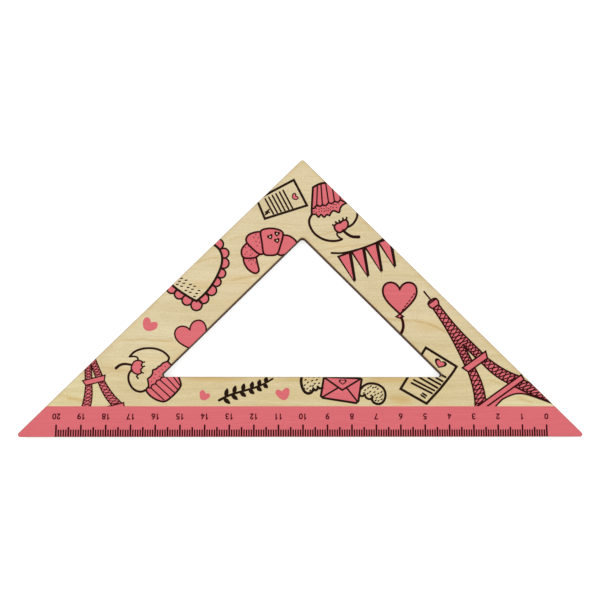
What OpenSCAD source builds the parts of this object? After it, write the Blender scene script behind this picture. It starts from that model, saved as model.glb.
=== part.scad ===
// Printed plywood set square, 45 / 45 / 90 degrees, with a 200 mm scale.
//
// Millimetres. The sheet lies flat: +Z is up out of the printed face, the long
// graduated edge runs along X on the -Y side, and the right-angled corner
// points to +Y. The origin is the centre of the bounding box on the back face.

/* [Outline] */

// Length over the two rounded sharp tips, along the graduated edge
tip_span = 230; // [180:1:260]

// Rounding radius of the three outer corners
corner_r = 1; // [0.5:0.1:2]

// Width of the bar that carries the scale
base_bar = 24.4; // [20:0.1:30]

// Width of the two bars along the short sides
leg_bar = 23.7; // [20:0.1:28]

// Rounding radius in the two sharp corners of the triangular window
window_r = 0.8; // [0.5:0.1:3]

// Rounding radius in the right-angled corner of the window
apex_r = 1.5; // [0.5:0.1:3]

/* [Plywood sheet] */

// Thickness of each face veneer
face_ply_t = 0.8; // [0.5:0.05:1.2]

// Thickness of the cross-grained core veneer
core_ply_t = 1.3; // [0.8:0.05:2.5]

// Thickness of each glue line between two veneers
glue_t = 0.05; // [0.03:0.01:0.1]

/* [Scale] */

// Length that the graduations cover
scale_len = 200; // [100:10:200]

// Distance from the right-hand tip to the zero graduation
zero_inset = 14.7; // [10:0.1:16]

// Depth of the coloured band behind the scale
band_depth = 12.4; // [10:0.1:16]

// Width of a graduation line
tick_w = 0.6; // [0.2:0.02:0.7]

// Length of a 10 mm graduation
tick_10 = 5; // [4:0.1:6]

// Length of a 5 mm graduation
tick_5 = 4; // [3:0.1:5]

// Length of a 1 mm graduation
tick_1 = 3; // [2:0.1:4]

// Height of the numerals
digit_h = 2.4; // [1.5:0.1:2.6]

// Line width of the numerals
digit_w = 0.48; // [0.2:0.02:0.5]

// Distance from the graduated edge to the middle of the numerals
digit_row = 8.3; // [7:0.1:9]

/* [Ink] */

// Thickness of the pink ink film
pink_t = 0.02; // [0.01:0.01:0.05]

// Thickness of the black ink film
black_t = 0.04; // [0.02:0.01:0.08]

// Bare margin between the ink and the cut edge
ink_margin = 0.1; // [0.05:0.05:0.5]

// Usual width of the drawn outlines
line_w = 0.8; // [0.4:0.05:0.9]

/* [Printed pictures] */

// Middle of the small note near the right-angled corner
note_at = [-8.7, 40.8];

// Middle of the upside-down cupcake
cupcake_a_at = [12.4, 34.2];

// Middle of the croissant
croissant_at = [-14.6, 20.2];

// Middle of the lace-edged heart
lace_at = [-40.8, 8.2];

// Middle of the outlined heart above the window
heart_at = [-45.2, -17.3];

// Middle of the tilted cupcake
cupcake_b_at = [-60.8, -32.8];

// Upper platform of the small lattice tower
tower_a_at = [-85.1, -34.1];

// Turn of the small lattice tower
tower_a_turn = 14; // [-30:1:30]

// Size of the small lattice tower against the large one
tower_a_scale = 0.78; // [0.6:0.01:1]

// Middle of the leafy sprig
sprig_at = [-23, -39];

// Middle of the winged envelope
envelope_at = [16.2, -37.8];

// Middle of the large note
letter_at = [52, -32.8];

// Upper platform of the large lattice tower
tower_b_at = [71, -26.4];

// Turn of the large lattice tower
tower_b_turn = 35; // [20:1:45]

// Middle of the heart-shaped balloon
balloon_at = [40.6, -0.6];

// Middle of the row of pennants
pennants_at = [27.6, 15.2];

// Turn of the row of pennants
pennants_turn = 20; // [0:1:30]

/* [Hidden] */

$fn = 48;

wood = [0.86, 0.80, 0.64];
core = [0.72, 0.60, 0.42];
glue = [0.30, 0.19, 0.10];
pink = [0.87, 0.43, 0.46];
black = [0.11, 0.05, 0.04];

s2 = sqrt(2);
sheet_t = 2 * face_ply_t + core_ply_t + 2 * glue_t;
z_glue_b = face_ply_t;
z_core = z_glue_b + glue_t;
z_glue_f = z_core + core_ply_t;
z_front = z_glue_f + glue_t;

// Half of the graduated side, measured to the sharp (unrounded) corner.
half = tip_span / 2 + s2 * corner_r;
// Height of the rounded right-angled corner above the graduated edge.
rise = half - (s2 - 1) * corner_r;
y0 = -rise / 2;

// Centres of the outer corner arcs: left tip, right tip, right angle.
outer_c = [[-half + (1 + s2) * corner_r, y0 + corner_r],
           [half - (1 + s2) * corner_r, y0 + corner_r],
           [0, y0 + half - s2 * corner_r]];

// Sharp corners of the window, then the centres of its corner arcs.
win_half = half - base_bar - s2 * leg_bar;
win_y = y0 + base_bar;
window_c = [[-win_half + (1 + s2) * window_r, win_y + window_r],
            [win_half - (1 + s2) * window_r, win_y + window_r],
            [0, win_y + win_half - s2 * apex_r]];

// ---------------------------------------------------------------- curves

// One step of a smooth curve that passes through its points.
function through(a, b, c, d, t) =
    0.5 * (2 * b + (c - a) * t + (2 * a - 5 * b + 4 * c - d) * t * t
           + (3 * b - a - 3 * c + d) * t * t * t);

// Smooth open curve through p, n steps between two points.
function curve(p, n = 4) =
    let (m = len(p) - 1)
    concat([for (i = [0:m - 1]) for (k = [0:n - 1])
                through(p[max(i - 1, 0)], p[i], p[i + 1], p[min(i + 2, m)], k / n)],
           [p[m]]);

// Smooth closed curve through p.
function loop(p, n = 4) =
    let (m = len(p))
    [for (i = [0:m - 1]) for (k = [0:n - 1])
        through(p[(i + m - 1) % m], p[i], p[(i + 1) % m], p[(i + 2) % m], k / n)];

function unit(v) = v / max(norm(v), 1e-6);
function left_of(v) = [-v[1], v[0]];

// Direction that halves the corner at point i, lengthened by the mitre.
function side(p, i, closed) =
    let (m = len(p),
         a = closed ? unit(p[i] - p[(i + m - 1) % m]) : unit(p[max(i, 1)] - p[max(i, 1) - 1]),
         b = closed ? unit(p[(i + 1) % m] - p[i]) : unit(p[min(i, m - 2) + 1] - p[min(i, m - 2)]),
         h = unit(left_of(a) + left_of(b)))
    h / max(h * left_of(a), 0.45);

// Pen stroke along the open line p. It is w wide at the start and w2 at the
// end, and both ends are round.
module stroke(p, w = line_w, w2 = 0) {
    m = len(p);
    e = w2 == 0 ? w : w2;
    a = unit(p[0] - p[1]);
    b = unit(p[m - 1] - p[m - 2]);
    function half_w(i) = (w + (e - w) * i / (m - 1)) / 2;
    polygon(concat(
        [for (i = [0:m - 1]) p[i] + side(p, i, false) * half_w(i)],
        [for (k = [60, 20, -20, -60]) p[m - 1] + e / 2 * (b * cos(k) + left_of(b) * sin(k))],
        [for (i = [m - 1:-1:0]) p[i] - side(p, i, false) * half_w(i)],
        [for (k = [60, 20, -20, -60]) p[0] + w / 2 * (a * cos(k) + left_of(a) * sin(k))]));
}

// 1 where the closed line p runs counter-clockwise, -1 where it runs clockwise.
function way(p) =
    let (m = len(p), a = [for (i = [0:m - 1]) cross(p[i], p[(i + 1) % m])])
    a * [for (q = a) 1] < 0 ? -1 : 1;

// Pen stroke along the closed line p. The outer side leaves out skip points
// beside the first one, which keeps it clean where that point is a deep notch.
module outline(p, w = line_w, skip = 0) {
    m = len(p);
    h = w / 2 * way(p);
    difference() {
        polygon([for (i = [0:m - 1]) if (i == 0 || (i > skip && i < m - skip)) p[i] - side(p, i, true) * h]);
        polygon([for (i = [0:m - 1]) p[i] + side(p, i, true) * h]);
    }
}

// Heart shape, w wide, counter-clockwise, pointing down. Each half is a smooth
// curve, so only the notch and the point are sharp.
heart_half = [[0, 0.25], [-0.07, 0.36], [-0.2, 0.44], [-0.36, 0.43], [-0.47, 0.33], [-0.5, 0.17],
              [-0.45, 0], [-0.33, -0.17], [-0.16, -0.34], [0, -0.49]];

function heart(w, n = 3) =
    let (h = curve(heart_half, n), m = len(h))
    concat([for (q = h) w * q], [for (i = [m - 2:-1:1]) w * [-h[i][0], h[i][1]]]);

// Pen stroke around a small heart, w wide over the middle of the line.
module heart_line(w, line, n = 2) {
    difference() {
        polygon(heart(w + line, n));
        polygon(heart(w - line, n));
    }
}

function moved(p, d) = [for (q = p) q + d];
function turned(p, a) = [for (q = p) [q[0] * cos(a) - q[1] * sin(a), q[0] * sin(a) + q[1] * cos(a)]];
function flipped(p) = [for (q = p) [-q[0], q[1]]];
function between(a, b, t) = a + (b - a) * t;

// Point at share t along the polyline p, by index.
function at(p, t) =
    let (s = min(max(t, 0), 1) * (len(p) - 1), i = min(floor(s), len(p) - 2))
    between(p[i], p[i + 1], s - i);

// ---------------------------------------------------------------- sheet

// Triangle with round corners: c holds the arc centres, r is their radius and q
// the radius at the right angle. The corner discs stand 2 microns proud of the
// sides, so that they cross cleanly.
module round_triangle(c, r, q) {
    nb = [0, -1];
    nr = [1, 1] / s2;
    nl = [-1, 1] / s2;
    polygon([c[0] + nb * r, c[1] + nb * r, c[1] + nr * r,
             c[2] + nr * q, c[2] + nl * q, c[0] + nl * r]);
    for (i = [0:2]) translate(c[i]) circle(r = (i == 2 ? q : r) + 0.002);
}

// Plan of the sheet, shrunk on every cut edge by the margin e.
module sheet_plan(e = 0) {
    difference() {
        round_triangle(outer_c, corner_r - e, corner_r - e);
        round_triangle(window_c, window_r + e, apex_r + e);
    }
}

module layer(z, t) {
    translate([0, 0, z]) linear_extrude(t) sheet_plan();
}

module back_face_ply() { color(wood) layer(0, face_ply_t); }
module back_glue_line() { color(glue) layer(z_glue_b, glue_t); }
module core_ply() { color(core) layer(z_core, core_ply_t); }
module front_glue_line() { color(glue) layer(z_glue_f, glue_t); }
module front_face_ply() { color(wood) layer(z_front, face_ply_t); }

// ---------------------------------------------------------------- ink

// A drawing is cut off where the sheet ends and where the band begins.
module on_wood() {
    intersection() {
        children();
        difference() {
            sheet_plan(ink_margin);
            translate([-half, y0 - 1]) square([2 * half, band_depth + 1]);
        }
    }
}

module pink_film() {
    color(pink) translate([0, 0, sheet_t]) linear_extrude(pink_t) children();
}

module black_film() {
    color(black) translate([0, 0, sheet_t]) linear_extrude(black_t) children();
}

// ---------------------------------------------------------------- scale

module scale_band_ink() {
    pink_film() intersection() {
        round_triangle(outer_c, corner_r - ink_margin, corner_r - ink_margin);
        translate([-half, y0]) square([2 * half, band_depth]);
    }
}

zero_x = tip_span / 2 - zero_inset;

// The graduations lie on the band and start at the edge of the ink.
module graduations_ink() {
    color(black) translate([0, 0, sheet_t + pink_t]) linear_extrude(black_t - pink_t)
        for (i = [0:scale_len]) {
            w = i % 5 == 0 ? tick_w + 0.1 : tick_w;
            translate([zero_x - i - w / 2, y0 + ink_margin])
                square([w, (i % 10 == 0 ? tick_10 : i % 5 == 0 ? tick_5 : tick_1) - ink_margin]);
        }
}

// The numerals are drawn a little narrower than their points say.
function wide(p) = [for (q = p) [0.96 * q[0], q[1]]];
module pen(p, w) { stroke(wide(p), w); }
module ring(p, w) { outline(wide(p), w); }

// Numeral d in a box one unit high, centred on x = 0.
module digit(d) {
    w = digit_w / digit_h;
    h = w / 2;
    if (d == 0) ring(loop([[0, h], [0.2, 0.2], [0.25, 0.5], [0.2, 0.8], [0, 1 - h], [-0.2, 0.8], [-0.25, 0.5], [-0.2, 0.2]], 3), w);
    if (d == 1) pen([[-0.14, 0.78], [0.06, 0.95], [0.06, h]], w);
    if (d == 2) {
        pen(curve([[-0.22, 0.72], [-0.14, 0.88], [0.03, 0.93], [0.19, 0.81], [0.15, 0.58], [-0.2, 0.12]], 3), w);
        pen([[-0.22, h], [0.25, h]], w);
    }
    if (d == 3) {
        pen(curve([[-0.22, 0.84], [-0.04, 0.94], [0.17, 0.84], [0.15, 0.6], [-0.04, 0.52]], 3), w);
        pen(curve([[-0.04, 0.52], [0.18, 0.45], [0.23, 0.24], [0.06, 0.07], [-0.24, 0.14]], 3), w);
    }
    if (d == 4) {
        pen([[0.1, h], [0.1, 0.92], [-0.26, 0.26]], w);
        pen([[-0.26, 0.26], [0.27, 0.26]], w);
    }
    if (d == 5) {
        pen([[0.2, 0.93], [-0.16, 0.93], [-0.19, 0.54]], w);
        pen(curve([[-0.19, 0.54], [0.04, 0.6], [0.22, 0.44], [0.2, 0.18], [0, 0.07], [-0.24, 0.13]], 3), w);
    }
    if (d == 6 || d == 9)
        translate([0, d == 9 ? 1 : 0]) rotate(d == 9 ? 180 : 0) {
            ring(loop([[0, h], [0.21, 0.15], [0.23, 0.36], [0.1, 0.54], [-0.1, 0.54], [-0.22, 0.36], [-0.2, 0.15]], 3), w);
            pen(curve([[-0.22, 0.34], [-0.18, 0.62], [-0.04, 0.84], [0.14, 0.93]], 3), w);
        }
    if (d == 7) pen([[-0.24, 0.93], [0.24, 0.93], [-0.06, h]], w);
    if (d == 8) {
        ring(loop([[0, 0.52], [0.18, 0.62], [0.18, 0.84], [0, 0.94], [-0.18, 0.84], [-0.18, 0.62]], 3), w);
        ring(loop([[0, h], [0.22, 0.16], [0.22, 0.4], [0, 0.52], [-0.22, 0.4], [-0.22, 0.16]], 3), w);
    }
}

// Centimetre n. The numerals are upright when the scale edge is turned away.
module numeral(n) {
    translate([zero_x - 10 * n, y0 + digit_row]) rotate(180) scale(digit_h)
        if (n < 10) translate([0, -0.5]) digit(n);
        else {
            translate([-0.36, -0.5]) digit(floor(n / 10));
            translate([0.36, -0.5]) digit(n % 10);
        }
}

module numerals_ink() {
    color(black) translate([0, 0, sheet_t + pink_t]) linear_extrude(black_t - pink_t)
        for (n = [0:scale_len / 10]) numeral(n);
}

// ---------------------------------------------------------------- notes

module scribble(w = 0.55) {
    for (k = [0:2]) stroke([[-1.1 + 0.5 * k, -0.8 + 0.1 * k], [0.1 + 0.5 * k, 0.5 + 0.2 * k]], w);
    stroke([[-0.8, 0.4], [0.9, -0.5]], w);
}

// Small tilted heart on the note.
note_mark = moved(loop([[-0.25, 1.3], [0.3, 0.95], [0.15, 0.2], [0.8, -0.05], [1.3, -0.65], [1, -1.15],
                        [0.15, -1.4], [-0.85, -1], [-1.15, -0.1], [-0.9, 0.95]], 3), [5.6, 1.5]);

module note_plan() {
    translate(note_at) {
        outline([[5, 8.6], [-10.5, 0], [-7.1, -8.2], [10.6, -2.4]], 1);
        for (i = [0:5])
            stroke([[-7 + 1.5 * i, 0.3 + 0.75 * i], [-3.5 + 1.6 * i, -6.1 + 0.5 * i]], 0.72);
        outline(note_mark, 0.44);
        translate([-6.1, -5.4]) rotate(20) scribble();
    }
}

module note_lines() { black_film() on_wood() note_plan(); }

module note_heart() {
    pink_film() difference() {
        translate(note_at) polygon(note_mark);
        note_plan();
    }
}

letter_mark_w = 4.2;
letter_mark_turn = -25;

// The heart on the large note is flatter than the others.
module letter_mark() {
    translate([4.9, 4.6]) rotate(letter_mark_turn) scale([1.04, 0.74]) children();
}

module letter_plan() {
    translate(letter_at) {
        outline(concat([[-0.9, 11.3], [-11.6, -5.7], [-1, -11.7]],
                       curve([[4.6, -5.8], [9.5, 0.2], [11.7, 3.5]], 3)), 1.05);
        stroke([[-7, -3.3], [1.3, -7.5]], 0.85);
        stroke([[-6.1, -2], [2.3, -6.4]], 0.8);
        stroke([[-3.7, -1], [3.6, -5.3]], 0.85);
        stroke([[-0.1, -1.2], [4.8, -3.9]], 0.85);
        stroke([[3.2, -1.2], [5.8, -2.6]], 0.85);
        stroke([[4.9, 0.3], [7.1, -0.9]], 0.85);
        letter_mark() heart_line(letter_mark_w, 0.95);
        stroke([[-3.2, -8.2], [-1.6, -9.3]], 0.75);
        stroke([[-2.5, -7.5], [-1, -8.5]], 0.75);
    }
}

module letter_lines() { black_film() on_wood() letter_plan(); }

module letter_heart() {
    pink_film() difference() {
        translate(letter_at) letter_mark() polygon(heart(letter_mark_w, 2));
        letter_plan();
    }
}

// ---------------------------------------------------------------- cupcakes

cup_a_icing = curve([[-8.5, 0.2], [-9.5, -1.8], [-9.4, -4.2], [-8, -7], [-5.8, -9.1],
                     [-3, -10.5], [0, -11], [2.5, -10.8], [4.2, -10.2]]);
cup_a_drips = curve([[-8.5, 0.2], [-6.8, 0.4], [-5.6, -0.8], [-4.6, 0.3], [-3.3, -0.8],
                     [-2.1, 0.3], [-1, -0.1], [-0.4, 1.1], [0.8, 2], [3, 1.2],
                     [3.5, 3], [4.7, 4.6], [7, 5.6]], 3);
cup_a_berry = loop([[1, -4.6], [1.5, -6.4], [3, -7.4], [4.8, -6.6], [6.4, -5.2],
                    [6.8, -3.4], [6, -2], [4.5, -2.3], [3.4, -3.2], [2.2, -3.4]], 3);
cup_a_feet = [[-8.5, 3], [-6.4, 4.6], [-4, 4.5], [-1.4, 5.5], [1.1, 6.1], [3.6, 6.7], [7, 6.4]];
cup_a_tops = [[-8, 12], [-6.1, 12.6], [-4.6, 13.2], [-2.6, 13.9], [0, 13.5], [3, 12], [9, 9]];

module cup_a_plan() {
    translate(cupcake_a_at) {
        stroke(cup_a_icing, 1);
        stroke(cup_a_drips, 0.76);
        outline(cup_a_berry, 0.8);
        stroke([[-8.5, 0.2], [-8.5, 3], [-8, 12]], 0.9);
        stroke(curve([[-8, 12], [-5.5, 13.4], [-2.5, 14.1], [1, 14.3]]), 0.95);
        for (i = [0:5])
            stroke(curve([cup_a_feet[i],
                          between(cup_a_feet[i], cup_a_feet[i + 1], 0.5) + [0.15, -0.75],
                          cup_a_feet[i + 1]], 3), 0.72);
        for (i = [1:5]) stroke([cup_a_feet[i], cup_a_tops[i]], 0.6);
        for (p = [[-7.5, 1.7], [-6.6, 2.8], [-5.4, 1.5], [-4.4, 2.9], [-3.2, 1.6], [-2.2, 3.2], [-1.6, 1.9],
                  [-0.4, 3.6], [0.9, 4.6], [-6, 3.8], [-3.3, 4], [-7.3, 3.7], [-6.5, 1.2], [-5.4, 2.6],
                  [-4.3, 1.8], [-3.3, 2.8], [-2.4, 2.1], [-0.6, 2.4], [-1.3, 2.9], [0.5, 3.3], [1.9, 3.4],
                  [1.7, 4.6], [2.8, 5]])
            translate(p) circle(d = 0.5, $fn = 16);
        stroke(curve([[4.2, -10.2], [2.9, -9.3], [2.1, -8.2], [2.4, -7]], 3), 0.75);
        stroke(curve([[10.8, 2.5], [10.6, -0.5], [9.5, -2.8], [8.2, -4.2], [6.6, -5]]), 0.95);
        stroke(curve([[4.7, -6.4], [6.4, -8], [8.6, -9.1], [11.3, -9.2]]), 1.1, 1.35);
        stroke([[0.3, -4.1], [1.1, -4.7]], 0.75);
        stroke([[1.5, -2.8], [2.2, -3.5]], 0.75);
        stroke([[3, -2.2], [3.5, -3.1]], 0.75);
        stroke([[4.6, -1.2], [4.7, -2.2]], 0.75);
        stroke([[6.2, -0.9], [6, -2]], 0.75);
    }
}

module cup_a_fill() {
    translate(cupcake_a_at) {
        polygon(concat(cup_a_drips, [[9, 9], [5, 14], [1, 14.3], [-2.5, 14.1], [-5.5, 13.4], [-8, 12], [-8.5, 3]]));
        polygon(cup_a_berry);
    }
}

module cupcake_a_lines() { black_film() on_wood() cup_a_plan(); }
module cupcake_a_pink() { pink_film() on_wood() difference() { cup_a_fill(); cup_a_plan(); } }

cup_b_icing = curve([[-10, 7.4], [-8.2, 9.3], [-5.5, 10.5], [-2.4, 10.9], [0.8, 10.6],
                     [3.6, 9.5], [5.4, 8], [6.1, 6.8], [5.6, 5.5]]);
cup_b_back = curve([[-9, 2], [-10.1, 0.3], [-10.2, -2.1], [-9.1, -4.7], [-7.2, -6.4],
                    [-4.9, -6.9], [-3.1, -6.2]]);
cup_b_drips = curve([[5.6, 5.5], [4.3, 5.1], [3.3, 4.5], [2.7, 3.7], [1.8, 3.3], [1, 2.4],
                     [-0.4, 1.9], [-0.5, 0.5], [-1.4, -0.9], [-2.4, -1.6], [-2.2, -2.9],
                     [-2, -4.7], [-3.1, -6.2]], 3);
cup_b_berry = loop([[-9.1, 3.5], [-8.1, 5.4], [-6.2, 5.9], [-4.7, 5.2], [-5.1, 4],
                    [-4.6, 3], [-5.4, 2], [-5, 0.9], [-6.3, 0.2], [-8, 0.7], [-9.1, 2]], 3);
cup_b_feet = [[-3.1, -6.2], [-1, -5.4], [0.9, -3.7], [2.6, -2.1], [5, -0.9], [7.6, -0.3]];
cup_b_ends = [[0, 0], [4.4, -10.2], [6.7, -8.9], [8.5, -7.2], [9.8, -5.9], [10.6, -4.2]];
cup_b_wrap = curve([[-3.1, -6.2], [-1.4, -8.4], [1.4, -10.2], [4.3, -10.9], [6.4, -9.9],
                    [9, -7.5], [10.9, -5], [11.1, -3.4], [10.2, -0.9], [9.2, 1]]);

module cup_b_plan() {
    translate(cupcake_b_at) {
        stroke(cup_b_icing, 0.85, 0.9);
        stroke(cup_b_back, 0.9);
        stroke(cup_b_drips, 0.7);
        outline(cup_b_berry, 0.6);
        stroke(cup_b_wrap, 0.8);
        for (i = [0:3])
            stroke(curve([cup_b_feet[i],
                          between(cup_b_feet[i], cup_b_feet[i + 1], 0.5) + [-0.45, 0.5],
                          cup_b_feet[i + 1]], 3), 0.6);
        for (i = [1:5]) stroke([cup_b_feet[i], cup_b_ends[i]], 0.5);
        stroke(curve([[-10, 7.4], [-8, 7.5], [-6.8, 7], [-6.5, 6]], 3), 0.7);
        stroke(curve([[-9.1, 4], [-11.8, 4.4], [-13.9, 3.9], [-15.4, 2.7]]), 0.9, 1.2);
        stroke([[-4.8, 5.1], [-3.8, 5.2]], 0.6);
        stroke([[-4.7, 3.2], [-3.8, 3.5]], 0.6);
        stroke([[-5.1, 1.1], [-4.3, 0.7]], 0.6);
        stroke(curve([[-6.3, 0.1], [-6.9, -0.7], [-6.3, -1.5]], 3), 0.65);
        stroke([[5.6, 5.5], [7, 4]], 0.7);
        for (p = [[4.6, 3.4], [3.4, 2.1], [2.1, 1.2], [3.9, 0.9], [0.8, 0.1], [2.4, -0.6], [0.2, -1.4], [-0.9, -2.8]])
            translate(p) circle(d = 0.42, $fn = 16);
    }
}

module cup_b_fill() {
    translate(cupcake_b_at) {
        polygon(concat(cup_b_drips, [for (i = [1:len(cup_b_wrap) - 1]) cup_b_wrap[i]], [[9, 2.6], [7, 4.1]]));
        polygon(cup_b_berry);
    }
}

module cupcake_b_lines() { black_film() on_wood() cup_b_plan(); }
module cupcake_b_pink() { pink_film() on_wood() difference() { cup_b_fill(); cup_b_plan(); } }

// ---------------------------------------------------------------- croissant

roll_top = loop([[-2.9, 6.9], [-0.5, 8.1], [2.6, 8.2], [5.6, 7.3], [6.5, 5.5], [5.4, 1],
                 [4, -2.6], [1, -3.2], [-1.5, -2.5], [-2.3, 2]]);
roll_right = curve([[6.5, 5.5], [9, 5.1], [11.2, 3.7], [12.6, 1.8]]);
roll_left = curve([[-2.9, 6.9], [-5.6, 6.5], [-8, 5.4], [-9, 3.6], [-8.6, 2]]);
roll_left_low = curve([[-8.6, 2], [-6.6, -0.1], [-4.6, -1.9], [-3, -2.8], [-1.5, -2.5]]);
roll_low = curve([[-8.6, 2], [-10.2, 0.3], [-10.9, -1.7], [-10.3, -3.9], [-8.4, -4.5],
                  [-5.2, -4.2], [-3.3, -2.9]]);
roll_tail = curve([[-10.1, -4], [-9.7, -6.4], [-8.3, -8.8], [-6.3, -10.4], [-4.6, -10.8],
                   [-3.5, -9.5], [-4.1, -6.9], [-4.6, -4.4]]);

// Middle and turn of each small heart on the croissant.
roll_marks = [[1.1, 4.6, 25], [3.9, 5.9, -10], [4, 3, 20]];
roll_mark_w = 1.6;

module croissant_plan() {
    translate(croissant_at) {
        outline(roll_top);
        stroke(roll_right);
        stroke(curve([[4, -2.6], [5.6, -3.2], [7.4, -2.8]]));
        stroke(roll_left);
        stroke(roll_left_low);
        stroke(roll_low);
        stroke(roll_tail);
        for (q = roll_marks) translate([q[0], q[1]]) rotate(q[2]) heart_line(roll_mark_w, 0.8);
        for (p = [[-7, -1], [-8.6, -1.8], [-6.4, -2.6], [-9.2, 0], [-7.8, -5.6], [-5.9, -5.4],
                  [-6.6, -6.9], [-4.8, 2.6], [-5.8, 4.4], [-3.9, 4.2], [-7.2, -3.3], [-4.4, 0.8],
                  [-3.3, 2.2], [-3.2, 5.4], [-4.9, 5.6], [-9.3, -2.8], [-7.9, 0.6], [-6.9, -5.2],
                  [-4.9, -6.3]])
            translate(p) circle(d = 0.48, $fn = 16);
    }
}

module croissant_fill() {
    translate(croissant_at) {
        polygon(roll_top);
        polygon(concat(roll_right, [[13, 0], [7.4, -2.8], [5.6, -3.2], [4, -2.6], [5.4, 1]]));
        polygon(concat(roll_left, roll_left_low, [[-1.4, 2]]));
        polygon(concat(roll_low, [[-3, -2.6], [-6.6, 0.2]]));
        polygon(concat(roll_tail, [[-6, -3.9], [-8.4, -4]]));
    }
}

module croissant_lines() { black_film() on_wood() croissant_plan(); }
module croissant_pink() {
    pink_film() on_wood() difference() {
        croissant_fill();
        croissant_plan();
        translate(croissant_at) for (q = roll_marks)
            translate([q[0], q[1]]) rotate(q[2]) polygon(heart(roll_mark_w, 2));
    }
}

// ---------------------------------------------------------------- hearts

lace_edge = concat(curve([[0.5, 14.8], [4, 13.1], [6.1, 11.2], [7.2, 8.7], [7.3, 6],
                          [6.6, 3], [5, -0.7], [3, -4.1], [0.4, -7.4], [-3, -10.6]]),
                   curve([[-6, -9], [-9.6, -6.7], [-13, -4.1], [-17, -0.5]]));
lace_lobes = [[5.6, 13.4, 2.2], [8, 9.6, 2.1], [8, 5.4, 2.2], [7, 1.1, 1.9], [5.1, -2.5, 1.9],
              [3.1, -6.1, 2.1], [-0.1, -9.5, 2.1], [-3, -12.2, 2.3], [-6.9, -10.2, 2.1],
              [-10.1, -7.6, 2.1], [-13.3, -5.3, 2.1]];

module lace_inside() {
    translate(lace_at) polygon(concat(lace_edge, [[-17, 16]]));
}

module lace_plan() {
    translate(lace_at) stroke(lace_edge, 1);
    difference() {
        translate(lace_at) for (q = lace_lobes)
            translate([q[0], q[1]]) difference() {
                circle(r = q[2] + 0.36);
                circle(r = q[2] - 0.36);
            }
        lace_inside();
    }
    translate(lace_at) for (i = [0:6]) for (k = [0:2])
        translate([-3.9 - 1.8 * i + 0.9 * k, -8.7 + 1.28 * i + 1.25 * k + (i % 2) * 0.5])
            stroke([[-0.38, 0.1 - 0.04 * i], [0.38, 0.03 * k]], 0.5);
}

module lace_fill() {
    difference() {
        translate(lace_at) for (q = lace_lobes) translate([q[0], q[1]]) circle(r = q[2]);
        lace_inside();
    }
}

module lace_heart_lines() { black_film() on_wood() lace_plan(); }
module lace_heart_pink() { pink_film() on_wood() difference() { lace_fill(); lace_plan(); } }

big_heart = turned(heart(13.2), 21);

module heart_lines() { black_film() on_wood() translate(heart_at) outline(big_heart, 0.64, 1); }
module heart_pink() {
    pink_film() on_wood() translate(heart_at) difference() {
        polygon(big_heart);
        outline(big_heart, 0.64, 1);
    }
}

// Plump heart, drawn freely, without an outline.
module plump_heart(at, p) {
    pink_film() translate(at) polygon(loop(p, 3));
}

module small_heart_a() {
    plump_heart([-62.7, -12], [[-3, -0.3], [-2.4, -2], [-1, -2.8], [0.7, -2.7], [2.4, -1.9], [3.1, -0.4],
                                 [2.6, 0.8], [1.5, 1], [0.4, 0.7], [0, 1.9], [-1.2, 2.9], [-2.5, 2.3], [-3, 1]]);
}
module small_heart_b() {
    plump_heart([-39.9, -41], [[-2, -0.4], [-1.6, -1.7], [-0.5, -2.2], [0.8, -1.9], [2, -0.9], [2.2, 0.1],
                                 [1.5, 0.7], [0.5, 0.6], [-0.1, 1.6], [-1.2, 1.9], [-2, 1]]);
}
module small_heart_c() {
    plump_heart([-8.1, -40.5], [[-2.9, 0.3], [-2.2, -0.9], [-1, -2], [0.5, -2.6], [1.6, -2.2], [2.5, -0.9],
                                [2.9, 0.7], [2.6, 2.1], [1.7, 2.4], [0.6, 1.9], [-0.3, 1], [-1.2, 1.6], [-2.4, 1.5]]);
}

balloon_heart = heart(14.2);

module balloon_plan() {
    translate(balloon_at) {
        outline(balloon_heart, 0.85, 1);
        outline([[-1.7, -8.1], [-0.1, -6.9], [1.4, -8], [0, -8.7]], 0.6);
        stroke(curve([[0.5, -8.4], [1.2, -10.6], [1.1, -13.2], [-0.2, -16]]), 1.1, 1.25);
        for (i = [0:5])
            translate([5.9 - 0.95 * i, 1.4 - 1.25 * i - (i < 2 ? 0 : 0.2)]) rotate(40)
                stroke([[-0.4, 0], [0.4, 0]], 0.42);
    }
}

module balloon_lines() { black_film() on_wood() balloon_plan(); }
module balloon_pink() {
    pink_film() difference() {
        translate(balloon_at) {
            polygon(balloon_heart);
            polygon([[-1.7, -8.1], [-0.1, -6.9], [1.4, -8], [0, -8.7]]);
        }
        balloon_plan();
    }
}

// ---------------------------------------------------------------- towers

// One side of the tower, drawn around the middle of its upper platform: the
// outer and inner edges of each leg, from the top down.
shaft_out = curve([[1.5, 26.6], [1.8, 19], [2.4, 13], [3.2, 7.6], [4.5, 0.4]], 3);
split_in = [[0.05, 7.6], [0.4, 4], [0.95, 0.4]];
leg_out = curve([[5, -2.8], [6.7, -7.8], [8.8, -12.3], [11.4, -16.4]], 3);
leg_in = curve([[1.7, -2.8], [2.6, -7.8], [4, -12.2], [6, -16.4]], 3);
foot_out = [[11.9, -18.6], [20, -33]];
foot_in = [[7.2, -18.6], [10.3, -24.4], [16.4, -33]];
arch_in = curve([[0, -19.9], [4, -20.6], [7.2, -22.1], [10.2, -25.1], [15.8, -33]], 3);

// Crossed bars between the edges a and b, with n fields from share s to 1.
module lattice(a, b, n, w, s = 0) {
    for (i = [0:n - 1]) {
        u = s + (1 - s) * i / n;
        v = s + (1 - s) * (i + 1) / n;
        stroke([at(a, u), at(b, v)], w);
        stroke([at(b, u), at(a, v)], w);
    }
}

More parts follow.
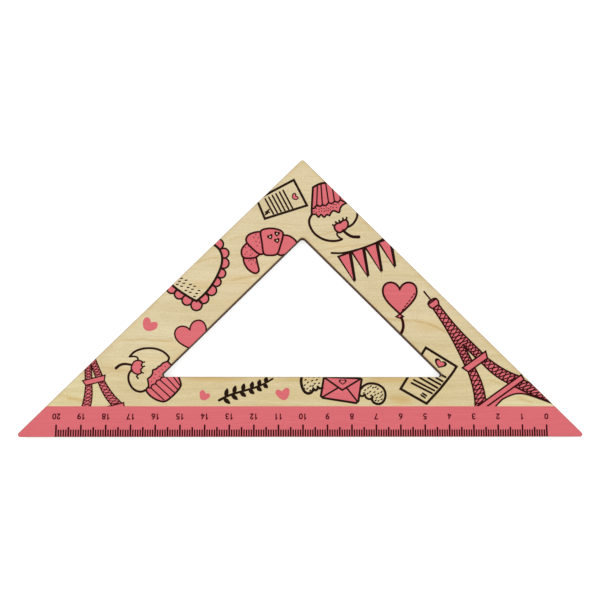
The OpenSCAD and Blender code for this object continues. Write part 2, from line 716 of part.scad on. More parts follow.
// w is the width of the main members, l the width of the crossed bars.
module tower_plan(w, l) {
    for (m = [0, 1]) {
        so = m == 1 ? flipped(shaft_out) : shaft_out;
        si = m == 1 ? flipped(split_in) : split_in;
        lo = m == 1 ? flipped(leg_out) : leg_out;
        li = m == 1 ? flipped(leg_in) : leg_in;
        fo = m == 1 ? flipped(foot_out) : foot_out;
        fi = m == 1 ? flipped(foot_in) : foot_in;
        stroke(so, w);
        stroke(si, w);
        stroke(lo, w);
        stroke(li, w);
        stroke(fo, w);
        stroke(fi, w);
        stroke(m == 1 ? flipped(arch_in) : arch_in, w);
        lattice([at(so, 0.72), so[len(so) - 1]], si, 5, l);
        lattice(lo, li, 8, l);
        lattice(fo, fi, 8, l);
    }
    lattice([at(shaft_out, 0), at(shaft_out, 0.25), at(shaft_out, 0.5), at(shaft_out, 0.74)],
            flipped([at(shaft_out, 0), at(shaft_out, 0.25), at(shaft_out, 0.5), at(shaft_out, 0.74)]),
            10, l);
    outline([[-6, 0], [-4.9, -2.8], [4.9, -2.8], [6, 0]], w);
    outline([[-12.3, -16.3], [-12.1, -18.6], [12.1, -18.6], [12.3, -16.3]], w);
}

module tower_fill() {
    for (m = [0, 1]) {
        polygon(m == 1 ? flipped(concat(leg_out, [for (i = [len(leg_in) - 1:-1:0]) leg_in[i]]))
                       : concat(leg_out, [for (i = [len(leg_in) - 1:-1:0]) leg_in[i]]));
        polygon(m == 1 ? flipped(concat(foot_out, [for (i = [len(arch_in) - 1:-1:0]) arch_in[i]], [[-0.3, -19.9], [-0.3, -18.6]]))
                       : concat(foot_out, [for (i = [len(arch_in) - 1:-1:0]) arch_in[i]], [[-0.3, -19.9], [-0.3, -18.6]]));
        polygon(m == 1 ? flipped(concat(shaft_out, [for (i = [len(split_in) - 1:-1:0]) split_in[i]], [[-0.2, 7.8], [-0.2, 26.6]]))
                       : concat(shaft_out, [for (i = [len(split_in) - 1:-1:0]) split_in[i]], [[-0.2, 7.8], [-0.2, 26.6]]));
    }
    polygon([[-6, 0], [-4.9, -2.8], [4.9, -2.8], [6, 0]]);
    polygon([[-12.3, -16.3], [-12.1, -18.6], [12.1, -18.6], [12.3, -16.3]]);
}

tower_head = [[-2.1, 29.5], [-2.2, 28.2], [-1.6, 26.9], [1.6, 26.9], [2.2, 28.2], [2.1, 29.5]];
tower_dome = curve([[-2.1, 29.5], [-1.3, 30.2], [1.1, 30.2], [2.1, 29.5]], 3);

module tower_head_plan(w) {
    outline(tower_head, w);
    stroke(tower_dome, w);
    stroke([[-0.1, 30.2], [-0.35, 34.8]], w, w * 1.05);
}

module place_a() { translate(tower_a_at) rotate(tower_a_turn) scale(tower_a_scale) children(); }
module place_b() { translate(tower_b_at) rotate(tower_b_turn) children(); }

module tower_a_lines() { black_film() on_wood() place_a() tower_plan(0.5 / tower_a_scale, 0.32 / tower_a_scale); }
module tower_a_pink() {
    pink_film() on_wood() place_a() difference() {
        tower_fill();
        tower_plan(0.5 / tower_a_scale, 0.32 / tower_a_scale);
    }
}

module tower_b_lines() {
    black_film() on_wood() place_b() {
        tower_plan(0.68, 0.5);
        tower_head_plan(0.7);
    }
}
module tower_b_pink() {
    pink_film() on_wood() place_b() difference() {
        union() {
            tower_fill();
            polygon(tower_head);
            polygon(tower_dome);
        }
        tower_plan(0.68, 0.5);
        tower_head_plan(0.7);
    }
}

// ---------------------------------------------------------------- sprig

sprig_stem = curve([[-11, -4.2], [-7, -2.2], [-2, -0.6], [3, 0.8], [7, 2.4], [10.8, 4.6]]);

// Leaf from the origin along +X.
module leaf(l, w) {
    polygon(loop([[0, 0], [l * 0.3, -w * 0.42], [l * 0.65, -w * 0.42], [l, 0], [l * 0.65, w * 0.42], [l * 0.3, w * 0.42]]));
}

module sprig_lines() {
    black_film() on_wood() translate(sprig_at) {
        stroke(sprig_stem, 1.05, 0.75);
        for (i = [1:6]) {
            translate(at(sprig_stem, 0.14 * i)) rotate(78) leaf(3.9 - 0.2 * i, 1.9);
            translate(at(sprig_stem, 0.14 * i - 0.04)) rotate(-38) leaf(4 - 0.25 * i, 1.9);
        }
    }
}

// ---------------------------------------------------------------- envelope

wing_left = curve([[-16.2, 5.5], [-16.7, 2.5], [-16.2, -0.2], [-15.1, -2], [-13.6, -2.6],
                   [-12.2, -1.9], [-11.6, -0.6]]);
wing_left_tips = [curve([[-11.7, -0.5], [-11, -1.3], [-10.1, -0.9], [-9.8, 0.1]], 3),
                  curve([[-9.9, 0.2], [-9.1, -0.5], [-7.9, -0.3]], 3)];
wing_right = curve([[7.8, -0.8], [9, 0.5], [10.8, 1.4], [12.8, 1.5], [15, 1], [17, -0.4],
                    [17.9, -2.4], [17.7, -4.6], [16.6, -6.3], [15, -6.9], [13.3, -6.4],
                    [12.4, -5.2], [12.6, -3.9]]);
wing_right_tips = [curve([[7.5, -3.4], [8.5, -3.7], [9.5, -3]], 3),
                   curve([[9.5, -3], [9.9, -4.2], [11.2, -4.9], [12.5, -4.6]], 3)];
envelope_box = [[-7.3, 4.2], [-8.6, -3.6], [-7.8, -4.4], [5.9, -6.5], [6.8, -5.7], [8.2, 3.2], [7.6, 3.6]];

module envelope_plan() {
    translate(envelope_at) {
        outline(envelope_box, 0.9);
        stroke([[-7, 3.8], [0.2, -1.2], [7.6, 3.3]], 0.75);
        stroke([[-1.4, -0.2], [-8, -4.1]], 0.7);
        stroke([[2, -0.3], [6.5, -6]], 0.7);
        translate([0.4, 2.1]) scale([1.04, 0.76]) heart_line(2.5, 0.65);
        stroke(wing_left, 1.2, 1.1);
        stroke(wing_right, 0.95, 1.05);
        for (p = wing_left_tips) stroke(p, 1);
        for (p = wing_right_tips) stroke(p, 0.9);
        for (p = [[-15.2, 0.8], [-14.1, -0.6], [-13.9, 1.9], [-12.9, 0.4], [-12.2, 2.6], [-14.9, 3],
                  [-11.1, 1.4], [-10.3, 3], [-9.3, 1.6], [9.6, -1.2], [10.9, -0.3], [11.6, -1.9],
                  [12.9, -0.2], [13.4, -2], [14.8, -0.7], [15, -2.6], [16.3, -2], [14.3, -4.3],
                  [15.9, -4], [15, -5.6], [16.3, -5], [-15.6, 4.6], [-13.4, 4.3], [-11.4, 4.2], [-9.2, 4.2],
                  [-13, -1.4], [-11.9, 0.5], [-15.4, -0.7], [9, -2.4], [10.6, -2.6], [12, -3.4], [13.7, -3.2],
                  [14, 0], [11.9, 0.4], [16.6, -3.2], [13.9, -5.4]])
            translate(p) rotate(35) stroke([[-0.28, 0], [0.28, 0]], 0.5);
    }
}

module envelope_lines() { black_film() on_wood() envelope_plan(); }
module envelope_pink() {
    pink_film() on_wood() difference() {
        translate(envelope_at) polygon(envelope_box);
        envelope_plan();
    }
}

// ---------------------------------------------------------------- pennants

pennant = [[-2.5, 5.4], [0.1, -6.6], [2.5, 5.4]];

module pennants_plan() {
    translate(pennants_at) rotate(pennants_turn) {
        stroke(curve([[-13.5, 8], [-9, 6.4], [-3, 5.7], [3, 5.6], [9, 6.3], [13.5, 8]]), 0.85);
        for (i = [0:3]) translate([-8.9 + 6 * i, 0.2]) {
            outline(pennant, 0.8);
            stroke([[2.9, 5], [0.6, -6.2]], 1.1);
        }
    }
}

module pennants_lines() { black_film() on_wood() pennants_plan(); }
module pennants_pink() {
    pink_film() on_wood() difference() {
        translate(pennants_at) rotate(pennants_turn)
            for (i = [0:3]) translate([-8.9 + 6 * i, 0.2]) polygon(pennant);
        pennants_plan();
    }
}

// ---------------------------------------------------------------- nodes

back_face_ply();
back_glue_line();
core_ply();
front_glue_line();
front_face_ply();
scale_band_ink();
graduations_ink();
numerals_ink();
note_lines();
note_heart();
cupcake_a_lines();
cupcake_a_pink();
croissant_lines();
croissant_pink();
lace_heart_lines();
lace_heart_pink();
heart_lines();
heart_pink();
small_heart_a();
small_heart_b();
small_heart_c();
cupcake_b_lines();
cupcake_b_pink();
tower_a_lines();
tower_a_pink();
sprig_lines();
envelope_lines();
envelope_pink();
letter_lines();
letter_heart();
tower_b_lines();
tower_b_pink();
balloon_lines();
balloon_pink();
pennants_lines();
pennants_pink();
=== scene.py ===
"""Looks of the printed plywood set square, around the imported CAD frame. Blender 4.5."""
import math

import bpy
from mathutils import Matrix, Vector


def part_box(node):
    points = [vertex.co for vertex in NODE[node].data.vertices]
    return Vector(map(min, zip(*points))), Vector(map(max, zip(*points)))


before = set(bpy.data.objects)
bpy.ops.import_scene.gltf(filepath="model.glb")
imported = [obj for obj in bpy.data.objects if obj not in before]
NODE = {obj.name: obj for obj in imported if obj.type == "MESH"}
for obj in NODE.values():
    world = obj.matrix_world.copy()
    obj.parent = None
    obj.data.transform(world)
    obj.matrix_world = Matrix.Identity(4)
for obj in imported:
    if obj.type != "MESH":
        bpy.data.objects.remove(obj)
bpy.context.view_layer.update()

# ------------------------------------------------------------------ plan of the sheet, in mm
lo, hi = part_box("front_face_ply")
lo, hi = Vector(lo) * 1000, Vector(hi) * 1000
S2 = math.sqrt(2)
CORNER_R = 1.0
HALF = (hi.x - lo.x) / 2 + S2 * CORNER_R          # graduated side, to its sharp corner
Y0 = lo.y                                          # graduated edge
LEG = (HALF + Y0) / S2                             # outer short edges: (|x| + y) / sqrt 2
BASE_BAR, LEG_BAR = 24.4, 23.7                     # bar widths
WIN_Y = Y0 + BASE_BAR                              # lower side of the window
WIN_HALF = HALF - BASE_BAR - S2 * LEG_BAR
WIN = (WIN_HALF + WIN_Y) / S2                      # upper sides of the window
APEX_R = 1.5                                       # rounding between them
TOP = hi.z


def srgb(r, g, b):
    """A colour given as sRGB bytes, as linear values."""
    def f(v):
        v /= 255.0
        return v / 12.92 if v <= 0.04045 else ((v + 0.055) / 1.055) ** 2.4
    return (f(r), f(g), f(b), 1.0)


LIGHT = 1.06        # how much brighter than its colour a matte surface comes out under the lights


def paint(r, g, b):
    c = srgb(r, g, b)
    return (c[0] / LIGHT, c[1] / LIGHT, c[2] / LIGHT, 1.0)


# ------------------------------------------------------------------ node trees
class Tree:
    def __init__(self, name):
        self.mat = bpy.data.materials.new(name)
        self.mat.use_nodes = True
        self.nt = self.mat.node_tree
        self.nt.nodes.clear()

    def add(self, kind, **props):
        n = self.nt.nodes.new(kind)
        for k, v in props.items():
            setattr(n, k, v)
        return n

    def put(self, socket, v):
        if isinstance(v, bpy.types.NodeSocket):
            self.nt.links.new(v, socket)
        elif v is not None:
            socket.default_value = v

    def math(self, op, a, b=None, c=None, clamp=False):
        n = self.add("ShaderNodeMath", operation=op, use_clamp=clamp)
        for i, v in enumerate((a, b, c)):
            if v is not None:
                self.put(n.inputs[i], v)
        return n.outputs[0]

    def plus(self, a, b):
        return self.math("ADD", a, b)

    def minus(self, a, b):
        return self.math("SUBTRACT", a, b)

    def times(self, a, b):
        return self.math("MULTIPLY", a, b)

    def low(self, *v):
        out = v[0]
        for w in v[1:]:
            out = self.math("MINIMUM", out, w)
        return out

    def high(self, *v):
        out = v[0]
        for w in v[1:]:
            out = self.math("MAXIMUM", out, w)
        return out

    def ramp(self, v, a, b, lo=0.0, hi=1.0):
        """Smooth step: lo at v = a, hi at v = b."""
        n = self.add("ShaderNodeMapRange", interpolation_type="SMOOTHSTEP")
        for i, w in enumerate((v, a, b, lo, hi)):
            self.put(n.inputs[i], w)
        return n.outputs[0]

    def vec(self, x, y, z=0.0):
        n = self.add("ShaderNodeCombineXYZ")
        for i, v in enumerate((x, y, z)):
            self.put(n.inputs[i], v)
        return n.outputs[0]

    def noise(self, x, y, z=0.0, detail=2.0, rough=0.5, scale=1.0):
        n = self.add("ShaderNodeTexNoise", noise_dimensions="3D")
        self.put(n.inputs["Vector"], self.vec(x, y, z))
        n.inputs["Scale"].default_value = scale
        n.inputs["Detail"].default_value = detail
        n.inputs["Roughness"].default_value = rough
        return n.outputs["Fac"]

    def mix(self, f, a, b, blend="MIX"):
        n = self.add("ShaderNodeMix", data_type="RGBA", blend_type=blend, clamp_factor=True)
        self.put(n.inputs[0], f)
        self.put(n.inputs[6], a)
        self.put(n.inputs[7], b)
        return n.outputs[2]

    def place(self):
        """x, y, z in mm in the part's frame, and the size of the normal's z."""
        tc = self.add("ShaderNodeTexCoord")
        s = self.add("ShaderNodeVectorMath", operation="SCALE")
        self.put(s.inputs[0], tc.outputs["Object"])
        s.inputs["Scale"].default_value = 1000.0
        p = self.add("ShaderNodeSeparateXYZ")
        self.put(p.inputs[0], s.outputs[0])
        n = self.add("ShaderNodeSeparateXYZ")
        self.put(n.inputs[0], tc.outputs["Normal"])
        return p.outputs[0], p.outputs[1], p.outputs[2], self.math("ABSOLUTE", n.outputs[2])

    def done(self, colour, rough, height=None, depth=0.00002, spec=0.3, sheen=0.0):
        b = self.add("ShaderNodeBsdfPrincipled")
        self.put(b.inputs["Base Color"], colour)
        self.put(b.inputs["Roughness"], rough)
        b.inputs["Specular IOR Level"].default_value = spec
        if height is not None:
            n = self.add("ShaderNodeBump")
            n.inputs["Strength"].default_value = 1.0
            n.inputs["Distance"].default_value = depth
            self.put(n.inputs["Height"], height)
            self.put(b.inputs["Normal"], n.outputs[0])
        o = self.add("ShaderNodeOutputMaterial")
        self.put(o.inputs[0], b.outputs[0])
        return self.mat


def edge_distances(t, x, y):
    """Distances in mm to the outer cut edge and to the window's edge, on the faces."""
    p = t.times(t.plus(x, y), 1 / S2)
    m = t.times(t.minus(y, x), 1 / S2)
    outer = t.low(t.minus(LEG, p), t.minus(LEG, m), t.minus(y, Y0))
    a, b = t.minus(p, WIN - APEX_R), t.minus(m, WIN - APEX_R)
    a0, b0 = t.high(a, 0.0), t.high(b, 0.0)
    round_part = t.math("SQRT", t.plus(t.times(a0, a0), t.times(b0, b0)))
    slants = t.minus(t.plus(round_part, t.low(t.high(a, b), 0.0)), APEX_R)
    window = t.high(t.minus(WIN_Y, y), slants)
    return outer, window


def edge_distance(t, x, y):
    return t.low(*edge_distances(t, x, y))


# Darker growth lines that cross the veneer: x from, x to, y at the start, y at the end, bow,
# width and strength. Millimetres.
STREAKS = [
    (-77.0, -51.0, -18.5, -19.1, 0.3, 0.55, 0.85),
    (-83.0, -59.0, -30.0, -31.2, -0.5, 0.80, 0.55),
    (-96.5, -87.0, -42.3, -43.9, 0.2, 0.85, 0.95),
    (-103.0, -94.0, -41.3, -42.0, 0.4, 0.80, 0.55),
    (-50.0, -20.0, -34.5, -34.7, 0.2, 0.80, 0.75),
    (-24.0, 10.0, -34.5, -35.1, -0.3, 0.70, 0.45),
    (26.0, 47.0, -34.4, -34.6, 0.1, 0.60, 0.60),
    (-45.0, -33.0, 13.1, 16.2, 0.8, 0.65, 0.60),
    (-37.0, -22.0, 15.8, 17.2, 0.5, 0.55, 0.35),
    (-47.0, -30.0, 3.0, 6.0, -0.7, 0.75, 0.55),
    (-31.0, -16.0, 5.4, 8.3, 0.9, 0.60, 0.75),
    (-32.0, -20.0, 23.2, 25.4, 0.5, 0.60, 0.45),
    (-7.0, 4.0, 25.6, 25.1, -0.3, 0.50, 0.40),
    (3.0, 20.0, 25.2, 29.2, -0.4, 0.60, 0.45),
    (22.0, 32.0, 32.0, 27.6, 0.6, 0.80, 0.50),
    (3.0, 34.0, 18.7, 22.4, 0.5, 0.55, 0.55),
    (7.0, 15.0, 15.0, 17.0, 0.3, 0.50, 0.40),
    (25.0, 43.0, 13.8, 15.8, -0.4, 0.55, 0.50),
    (33.0, 47.0, -9.0, -10.5, -0.3, 0.65, 0.80),
    (44.0, 62.0, -9.9, -16.6, 1.3, 0.70, 1.00),
    (32.0, 46.0, -14.6, -15.6, 0.3, 0.60, 0.40),
    (35.0, 45.0, -42.0, -43.2, 0.4, 1.40, 0.70),
    (76.0, 84.0, -35.2, -36.6, 0.3, 0.80, 0.60),
    (88.0, 96.0, -42.0, -45.0, 0.4, 1.00, 0.60),
]


# Toasted patches: x, y, half length, half height and strength. Millimetres.
TOAST = [
    (40.0, -43.2, 6.5, 2.6, 0.85),
    (36.0, -35.2, 13.0, 1.5, 0.75),
    (-36.0, -34.9, 15.0, 1.3, 0.55),
    (2.0, -34.6, 12.0, 1.1, 0.45),
    (16.0, -43.5, 9.0, 1.6, 0.35),
    (-94.5, -42.6, 8.0, 2.0, 0.35),
    (-41.0, 4.5, 9.0, 2.4, 0.45),
    (-27.0, 7.0, 9.0, 2.2, 0.55),
    (37.0, 17.0, 7.0, 3.0, 0.45),
    (53.0, -13.0, 9.0, 3.0, 0.45),
    (92.0, -40.5, 7.0, 2.4, 0.15),
]


def veneer(t, x, y, seed=0.0, streaks=True):
    """Rotary-cut birch veneer with its grain along X. Gives a colour and a height."""
    wave = t.noise(t.times(x, 0.022), t.times(y, 0.05), seed, 1.0)
    yw = t.plus(y, t.times(t.minus(wave, 0.5), 5.0))
    broad = t.noise(t.times(x, 0.014), t.times(yw, 0.42), seed + 3.0, 3.0, 0.55)
    lines = t.noise(t.times(x, 0.035), t.times(yw, 1.5), seed + 7.0, 3.0, 0.6)
    fine = t.noise(t.times(x, 0.22), t.times(yw, 4.2), seed + 11.0, 3.0, 0.65)
    fleck = t.noise(t.times(x, 0.55), t.times(yw, 3.4), seed + 17.0, 2.0, 0.5)
    ray = t.noise(t.times(x, 1.5), t.times(y, 1.1), seed + 23.0, 2.0, 0.6)
    cloud = t.noise(t.times(x, 0.045), t.times(y, 0.09), seed + 29.0, 2.0, 0.5)

    v = t.times(t.minus(broad, 0.5), 0.75)
    v = t.plus(v, t.times(t.minus(lines, 0.5), 0.75))
    grit = t.noise(t.times(x, 2.6), t.times(y, 2.9), seed + 71.0, 2.0, 0.7)
    v = t.plus(v, t.times(t.minus(fine, 0.5), 1.05))
    v = t.plus(v, t.times(t.minus(ray, 0.5), 0.85))
    v = t.plus(v, t.times(t.minus(grit, 0.5), 0.65))
    v = t.plus(v, t.times(t.minus(cloud, 0.5), 0.55))
    v = t.math("ADD", v, 0.5, clamp=True)
    col = t.mix(v, paint(202, 182, 134), paint(231, 216, 177))
    # warm areas, where the cut runs through late wood
    warm = t.ramp(t.noise(t.times(x, 0.03), t.times(yw, 0.16), seed + 41.0, 2.0, 0.5), 0.52, 0.74)
    col = t.mix(t.times(warm, 0.45), col, paint(222, 199, 145))
    # vessels: short dark dashes along the grain
    dash = t.ramp(fleck, 0.60, 0.74)
    col = t.mix(t.times(dash, 0.30), col, paint(186, 160, 112))
    if streaks:
        ragged = t.minus(t.noise(t.times(x, 0.12), t.times(y, 0.7), seed + 61.0, 3.0, 0.6), 0.5)
        toast = None
        for xc, yc, rx, ry, s in TOAST:
            dx = t.times(t.minus(x, xc), 1.0 / rx)
            dy = t.times(t.minus(y, yc), 1.0 / ry)
            d = t.math("SQRT", t.plus(t.times(dx, dx), t.times(dy, dy)))
            m = t.ramp(t.plus(d, t.times(ragged, 1.3)), 0.15, 1.15, s, 0.0)
            toast = m if toast is None else t.high(toast, m)
        col = t.mix(t.times(toast, 0.62), col, paint(207, 172, 104))
        total = None
        wob = t.times(t.minus(t.noise(t.times(x, 0.16), t.times(y, 0.12), seed + 51.0, 2.0), 0.5), 1.6)
        feather = t.noise(t.times(x, 0.5), t.times(y, 3.0), seed + 57.0, 2.0, 0.6)
        yy = t.plus(y, wob)
        for xa, xb, ya, yb, bow, w, s in STREAKS:
            u = t.ramp_lin(x, xa, xb)
            mid = t.math("MULTIPLY_ADD", u, yb - ya, ya)
            arc = t.times(t.times(u, t.minus(1.0, u)), 4 * bow)
            d = t.math("ABSOLUTE", t.minus(yy, t.plus(mid, arc)))
            across = t.ramp(d, 0.15 * w, 1.25 * w, 1.0, 0.0)
            fade = 0.22 * (xb - xa)
            along = t.times(t.ramp(x, xa - 0.3, xa + fade), t.ramp(x, xb - fade, xb + 0.3, 1.0, 0.0))
            m = t.times(t.times(across, along), s)
            total = m if total is None else t.high(total, m)
        total = t.times(total, t.ramp(feather, 0.22, 0.62, 0.35, 1.0))
        col = t.mix(t.times(total, 0.85), col, paint(203, 171, 112))
    if streaks:     # the sheet is yellower along the lower bar and paler above it
        tone = t.mix(t.ramp(y, -36.0, -4.0), (0.978, 0.968, 0.928, 1.0), (1.0, 1.0, 1.035, 1.0))
        tone = t.mix(t.times(t.ramp(x, -70.0, -20.0, 1.0, 0.0), t.ramp(y, -36.0, -20.0)), tone, (1.035, 1.05, 1.10, 1.0))
        tone = t.mix(t.times(t.ramp(t.math("ABSOLUTE", x), 68.0, 92.0), t.ramp(y, -30.0, -38.0)), tone, (1.030, 1.060, 1.020, 1.0))
        col = t.mix(1.0, col, tone, blend="MULTIPLY")
    height = t.plus(t.times(fine, 0.5), t.minus(t.times(lines, 0.4), t.times(dash, 0.6)))
    return col, height


def ramp_lin(self, v, a, b):
    n = self.add("ShaderNodeMapRange", interpolation_type="LINEAR", clamp=True)
    for i, w in enumerate((v, a, b, 0.0, 1.0)):
        self.put(n.inputs[i], w)
    return n.outputs[0]


Tree.ramp_lin = ramp_lin


def scorch(t, x, y, col, line, glow):
    """The laser's brown trace on a face beside the cut."""
    outer, window = edge_distances(t, x, y)
    d = t.low(outer, window)
    rag = t.times(t.minus(t.noise(t.times(x, 0.8), t.times(y, 0.8), 5.0, 3.0, 0.6), 0.5), 0.12)
    near = t.ramp(t.plus(outer, rag), 0.02, 0.34, 1.0, 0.0)
    slant = t.ramp(y, WIN_Y + 0.3, WIN_Y + 2.0)
    burnt = t.times(t.ramp(t.plus(window, rag), 0.10, 0.62, 1.0, 0.0), t.math("MULTIPLY_ADD", slant, 0.62, 0.30))
    patch = t.ramp(t.noise(t.times(x, 0.07), t.times(y, 0.07), 9.0, 2.0), 0.35, 0.65)
    far = t.times(t.ramp(d, 0.1, 2.2, 1.0, 0.0), patch)
    col = t.mix(t.times(far, glow), col, paint(205, 170, 112), "MIX")
    col = t.mix(t.times(near, line), col, paint(96, 70, 44))
    return t.mix(burnt, col, paint(66, 34, 12))


def charred(t, x, y, z, dark, light):
    """Cut wall: burnt, with the upright marks that a pulsed laser leaves."""
    pulse = t.noise(t.times(x, 2.1), t.times(y, 2.1), t.times(z, 0.22), 3.0, 0.6)
    blotch = t.noise(t.times(x, 0.22), t.times(y, 0.22), t.times(z, 0.5), 2.0, 0.5)
    v = t.math("ADD", t.times(t.minus(pulse, 0.5), 1.3), t.times(blotch, 1.0), clamp=True)
    return t.mix(v, dark, light), pulse


def face_veneer():
    t = Tree("face_veneer")
    x, y, z, nz = t.place()
    col, h = veneer(t, x, y)
    col = scorch(t, x, y, col, 0.55, 0.38)
    wall, pulse = charred(t, x, y, z, paint(40, 16, 2), paint(80, 44, 14))
    side = t.ramp(nz, 0.35, 0.75, 1.0, 0.0)
    col = t.mix(side, col, wall)
    rough = t.math("MULTIPLY_ADD", h, -0.12, 0.66)
    height = t.plus(t.times(h, t.minus(1.0, side)), t.times(pulse, t.times(side, 1.6)))
    return t.done(col, rough, height, 0.00003, spec=0.12)


def back_veneer():
    t = Tree("back_veneer")
    x, y, z, nz = t.place()
    col, h = veneer(t, x, t.plus(y, 37.0), 61.0, streaks=False)
    col = scorch(t, x, y, col, 0.75, 0.55)
    wall, pulse = charred(t, x, y, z, paint(32, 21, 12), paint(78, 54, 31))
    side = t.ramp(nz, 0.35, 0.75, 1.0, 0.0)
    col = t.mix(side, col, wall)
    rough = t.math("MULTIPLY_ADD", h, -0.12, 0.68)
    height = t.plus(t.times(h, t.minus(1.0, side)), t.times(pulse, t.times(side, 1.6)))
    return t.done(col, rough, height, 0.00003)


def core_veneer():
    """The grain of the core runs along Y, so its ends show on the long edges."""
    t = Tree("core_veneer")
    x, y, z, nz = t.place()
    pores = t.noise(t.times(t.plus(x, t.times(y, 0.2)), 3.2), t.times(y, 0.4), t.times(z, 2.6), 3.0, 0.7)
    wall, pulse = charred(t, x, y, z, paint(44, 19, 3), paint(92, 54, 20))
    col = t.mix(t.ramp(pores, 0.55, 0.7, 0.0, 0.7), wall, paint(30, 19, 11))
    height = t.plus(t.times(pores, 0.8), t.times(pulse, 0.8))
    return t.done(col, 0.78, height, 0.00004, spec=0.08)


def glue_line():
    t = Tree("glue_line")
    x, y, z, nz = t.place()
    n = t.noise(t.times(x, 1.2), t.times(y, 1.2), t.times(z, 4.0), 3.0, 0.6)
    col = t.mix(n, paint(20, 13, 9), paint(58, 38, 24))
    return t.done(col, t.math("MULTIPLY_ADD", n, 0.3, 0.5), n, 0.00002, spec=0.12)


def ink(name, dark, light, rough, over=0.35, depth=0.000012, edge=0.25, spec=0.28):
    """Cured ink: even, but the grain under it shows through."""
    t = Tree(name)
    x, y, z, nz = t.place()
    wave = t.noise(t.times(x, 0.022), t.times(y, 0.05), 0.0, 1.0)
    yw = t.plus(y, t.times(t.minus(wave, 0.5), 5.0))
    lines = t.noise(t.times(x, 0.035), t.times(yw, 1.5), 7.0, 3.0, 0.6)
    fine = t.noise(t.times(x, 0.22), t.times(yw, 4.2), 11.0, 3.0, 0.65)
    fleck = t.noise(t.times(x, 0.55), t.times(yw, 3.4), 17.0, 2.0, 0.5)
    speck = t.noise(t.times(x, 2.6), t.times(y, 2.6), 71.0, 2.0, 0.6)
    v = t.plus(t.times(t.minus(lines, 0.5), 1.1), t.times(t.minus(fine, 0.5), 0.9))
    v = t.plus(v, t.times(t.minus(speck, 0.5), 0.7))
    v = t.math("ADD", v, 0.5, clamp=True)
    col = t.mix(v, dark, light)
    dash = t.ramp(fleck, 0.60, 0.74)
    col = t.mix(t.times(dash, over), col, dark)
    if edge:
        d = edge_distance(t, x, y)
        col = t.mix(t.times(t.ramp(d, 0.05, 0.5, 1.0, 0.0), edge), col, paint(120, 62, 54))
    height = t.plus(t.times(fine, 0.5), t.minus(t.times(lines, 0.4), t.times(dash, 0.5)))
    return t.done(col, t.math("MULTIPLY_ADD", v, 0.12, rough), height, depth, spec=spec)


FACE = face_veneer()
BACK = back_veneer()
CORE = core_veneer()
GLUE = glue_line()
PINK = ink("pink_ink", paint(206, 92, 99), paint(226, 112, 118), 0.46)
BAND = ink("band_ink", paint(207, 92, 100), paint(225, 111, 118), 0.46)
BLACK = ink("black_ink", paint(27, 13, 6), paint(44, 25, 14), 0.56, edge=0.0, spec=0.05)
WINE = ink("wine_ink", paint(40, 4, 6), paint(62, 12, 13), 0.56, edge=0.0, spec=0.05)
PLUM = ink("plum_ink", paint(30, 8, 6), paint(48, 18, 13), 0.56, edge=0.0, spec=0.05)
MAROON = ink("scale_ink", paint(44, 0, 5), paint(64, 2, 9), 0.56, edge=0.0, spec=0.06)
NUMBER = ink("numeral_ink", paint(58, 0, 7), paint(82, 4, 13), 0.56, edge=0.0, spec=0.06)


def dress(o, mat):
    if not o.data.materials:
        o.data.materials.append(None)
    for s in o.material_slots:
        s.link = "OBJECT"
        s.material = mat


# The dark ink looks brown on the wood, and wine red where it is printed over the pink.
ON_WOOD = ("note_lines", "letter_lines", "sprig_lines", "envelope_lines", "lace_heart_lines")

for name, o in NODE.items():
    if name == "back_face_ply":
        dress(o, BACK)
    elif name == "front_face_ply":
        dress(o, FACE)
    elif name == "core_ply":
        dress(o, CORE)
    elif name.endswith("_glue_line"):
        dress(o, GLUE)
    elif name == "scale_band_ink":
        dress(o, BAND)
    elif name == "graduations_ink":
        dress(o, MAROON)
    elif name == "numerals_ink":
        dress(o, NUMBER)
    elif name in ON_WOOD:
        dress(o, BLACK)
    elif name in ("cupcake_a_lines", "cupcake_b_lines", "pennants_lines"):
        dress(o, PLUM)
    elif name.endswith("_lines"):
        dress(o, WINE)
    else:
        dress(o, PINK)

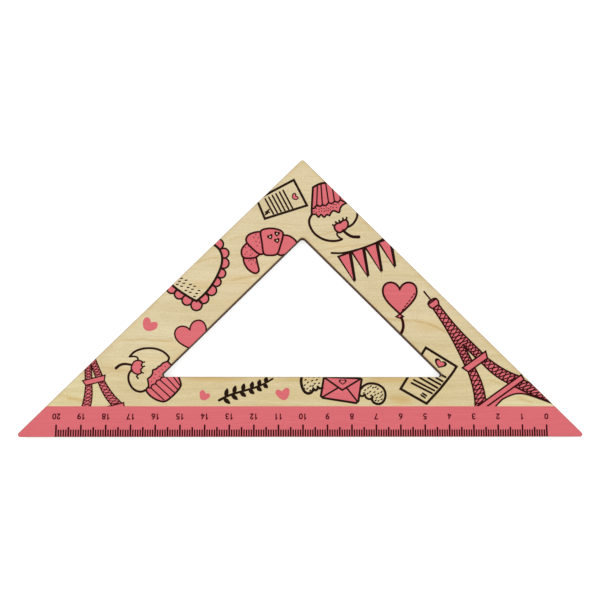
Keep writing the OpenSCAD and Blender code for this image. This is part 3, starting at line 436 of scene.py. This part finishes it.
# ------------------------------------------------------------------ stage
floor_mesh = bpy.data.meshes.new("floor")
F = 4.0
floor_mesh.from_pydata([(-F, -F, 0), (F, -F, 0), (F, F, 0), (-F, F, 0)], [], [(0, 1, 2, 3)])
floor = bpy.data.objects.new("floor", floor_mesh)
floor.location = (0, 0, -0.00015)
bpy.context.scene.collection.objects.link(floor)
fm = bpy.data.materials.new("floor")
fm.use_nodes = True
fb = fm.node_tree.nodes["Principled BSDF"]
fb.inputs["Base Color"].default_value = (0.60, 0.60, 0.60, 1)
fb.inputs["Roughness"].default_value = 0.9
fb.inputs["Specular IOR Level"].default_value = 0.0
fb.inputs["Emission Color"].default_value = (1, 1, 1, 1)     # a lit tabletop, so shadows stay faint
fb.inputs["Emission Strength"].default_value = 0.60
floor_mesh.materials.append(fm)

world = bpy.data.worlds.new("studio")
bpy.context.scene.world = world
world.use_nodes = True
bg = world.node_tree.nodes["Background"]
bg.inputs[0].default_value = (1.0, 1.0, 1.0, 1)
bg.inputs[1].default_value = 0.80


def softbox(name, where, size, watts):
    d = bpy.data.lights.new(name, "AREA")
    d.shape = "SQUARE"
    d.size = size
    d.energy = watts
    d.color = (1.0, 1.0, 1.0)
    o = bpy.data.objects.new(name, d)
    o.location = where
    o.rotation_mode = "QUATERNION"
    o.rotation_quaternion = (-Vector(where)).to_track_quat("-Z", "Y")
    bpy.context.scene.collection.objects.link(o)
    return o


softbox("key", (-0.55, 0.60, 1.30), 0.9, 6.2)
softbox("fill", (0.80, -0.45, 1.20), 1.0, 2.6)

# ------------------------------------------------------------------ camera
# Above the lower bar, nearly straight down.
cam_data = bpy.data.cameras.new("camera")
cam_data.lens = 30.0
cam_data.sensor_width = 36.0
cam_data.clip_start = 0.01
cam_data.clip_end = 20.0
tilt, az, roll = math.radians(4.2364), math.radians(-10.6866), math.radians(0.0476)
back = Vector((math.sin(az) * math.sin(tilt), -math.cos(az) * math.sin(tilt), math.cos(tilt)))
target = Vector((0.0002550, -0.0185250, 0.0))
right = (-back).cross(Vector((0, 1, 0))).normalized()
up = right.cross(-back).normalized()
right, up = (math.cos(roll) * right + math.sin(roll) * up,
             -math.sin(roll) * right + math.cos(roll) * up)
cam = bpy.data.objects.new("camera", cam_data)
cam.matrix_world = Matrix.Translation(target + back * 0.2094111) @ Matrix(
    ((right.x, up.x, back.x, 0), (right.y, up.y, back.y, 0), (right.z, up.z, back.z, 0), (0, 0, 0, 1)))
cam_data.shift_x = -(302.8700 - 300.0) / 600.0
cam_data.shift_y = (340.7600 - 300.0) / 600.0
bpy.context.scene.collection.objects.link(cam)
bpy.context.scene.camera = cam
bpy.context.scene.view_settings.view_transform = "Standard"
bpy.context.scene.view_settings.look = "None"
